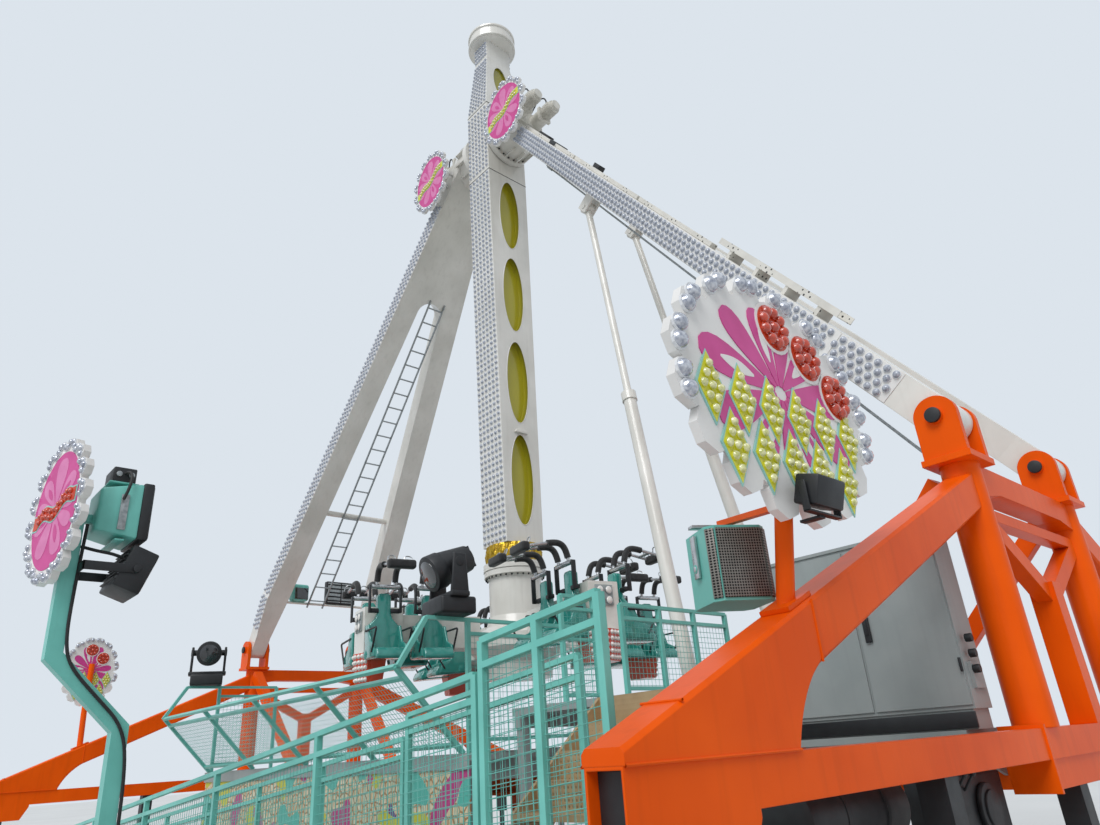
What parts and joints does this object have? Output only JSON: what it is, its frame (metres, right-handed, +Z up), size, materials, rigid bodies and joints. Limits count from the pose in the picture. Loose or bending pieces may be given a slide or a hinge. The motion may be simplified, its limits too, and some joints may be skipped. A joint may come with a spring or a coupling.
{
  "type": "looping pendulum ride",
  "caption": "Travelling fairground ride with a full-circle swinging arm on forked supports, a spinning seat gondola, steel bases and boarding platform.",
  "frame": {"origin": "on the ground straight below the arm's swing axis, at the centre foot pad", "axes": "+X along the swing axis towards the side with the raising rams, +Y away from the boarding platform, +Z up"},
  "size_m": [14.14, 11.8342, 15.1805],
  "materials": {
    "white_paint": "gloss white paint",
    "orange_paint": "gloss orange paint",
    "teal_paint": "satin teal paint",
    "grey_paint": "satin grey paint",
    "printed_board": "printed sheet boards with a lamp border",
    "dark_steel": "black paint",
    "zinc_plate": "zinc plated steel",
    "gold_foil": "crinkled gold foil",
    "seat_plastic": "moulded teal shell",
    "black_foam": "black foam pads on steel tube"
  },
  "bodies": {
    "frame": {"support_right": "white_paint", "support_left": "white_paint", "head_right": "white_paint", "head_left": "white_paint", "drive_motors": "grey_paint", "base_beam_right": "orange_paint", "base_beam_left": "orange_paint", "braces_right": "orange_paint", "braces_left": "orange_paint", "tower_right": "orange_paint", "tower_left": "orange_paint", "clevises_right": "orange_paint", "clevises_left": "orange_paint", "feet": "dark_steel", "chassis": "orange_paint", "cross_members": "orange_paint", "ram_barrels": "white_paint", "ram_rods": "white_paint", "ladder": "grey_paint", "cabinet": "grey_paint", "deck": "teal_paint", "deck_frames": "grey_paint", "skirt": "printed_board", "ramp": "teal_paint", "stair": "teal_paint", "balustrade": "teal_paint", "fence_right": "teal_paint", "fence_front": "teal_paint", "ramp_rails": "teal_paint", "light_tower": "teal_paint", "sign_boards": "printed_board", "sign_posts": "orange_paint", "speaker": "teal_paint", "stay_wires": "zinc_plate", "cable_tray": "zinc_plate", "stage_lights": "dark_steel"},
    "arm": {"arm_lower": "white_paint", "arm_hub": "white_paint", "arm_upper": "white_paint", "counterweight": "white_paint", "collar": "gold_foil", "slew_ring": "white_paint"},
    "gondola": {"gondola_column": "white_paint", "gondola_spokes": "white_paint", "seats": "seat_plastic"},
    "restraints_1a": {"restraints_1a": "black_foam"},
    "restraints_1b": {"restraints_1b": "black_foam"},
    "restraints_2a": {"restraints_2a": "black_foam"},
    "restraints_2b": {"restraints_2b": "black_foam"},
    "restraints_3a": {"restraints_3a": "black_foam"},
    "restraints_3b": {"restraints_3b": "black_foam"},
    "restraints_4a": {"restraints_4a": "black_foam"},
    "restraints_4b": {"restraints_4b": "black_foam"}
  },
  "joints": [
    {"name": "arm_swing", "type": "hinge", "parent": "frame", "child": "arm", "pos_m": [0, 0, 12.2], "axis": [1, 0, 0], "continuous": true},
    {"name": "gondola_spin", "type": "hinge", "parent": "arm", "child": "gondola", "pos_m": [0, 0, 4.08], "axis": [0, 0, 1], "continuous": true},
    {"name": "restraint_1a", "type": "hinge", "parent": "gondola", "child": "restraints_1a", "pos_m": [1.6852, -0.77736, 3.695], "axis": [0.9781, -0.2079, 0], "range_deg": [0, 70]},
    {"name": "restraint_1b", "type": "hinge", "parent": "gondola", "child": "restraints_1b", "pos_m": [1.85569, 0.02472, 3.695], "axis": [-0.9781, 0.2079, 0], "range_deg": [0, 70]},
    {"name": "restraint_2a", "type": "hinge", "parent": "gondola", "child": "restraints_2a", "pos_m": [0.77736, 1.6852, 3.695], "axis": [0.2079, 0.9781, 0], "range_deg": [0, 70]},
    {"name": "restraint_2b", "type": "hinge", "parent": "gondola", "child": "restraints_2b", "pos_m": [-0.02472, 1.85569, 3.695], "axis": [-0.2079, -0.9781, 0], "range_deg": [0, 70]},
    {"name": "restraint_3a", "type": "hinge", "parent": "gondola", "child": "restraints_3a", "pos_m": [-1.6852, 0.77736, 3.695], "axis": [-0.9781, 0.2079, 0], "range_deg": [0, 70]},
    {"name": "restraint_3b", "type": "hinge", "parent": "gondola", "child": "restraints_3b", "pos_m": [-1.85569, -0.02472, 3.695], "axis": [0.9781, -0.2079, 0], "range_deg": [0, 70]},
    {"name": "restraint_4a", "type": "hinge", "parent": "gondola", "child": "restraints_4a", "pos_m": [-0.77736, -1.6852, 3.695], "axis": [-0.2079, -0.9781, 0], "range_deg": [0, 70]},
    {"name": "restraint_4b", "type": "hinge", "parent": "gondola", "child": "restraints_4b", "pos_m": [0.02472, -1.85569, 3.695], "axis": [0.2079, 0.9781, 0], "range_deg": [0, 70]}
  ]
}
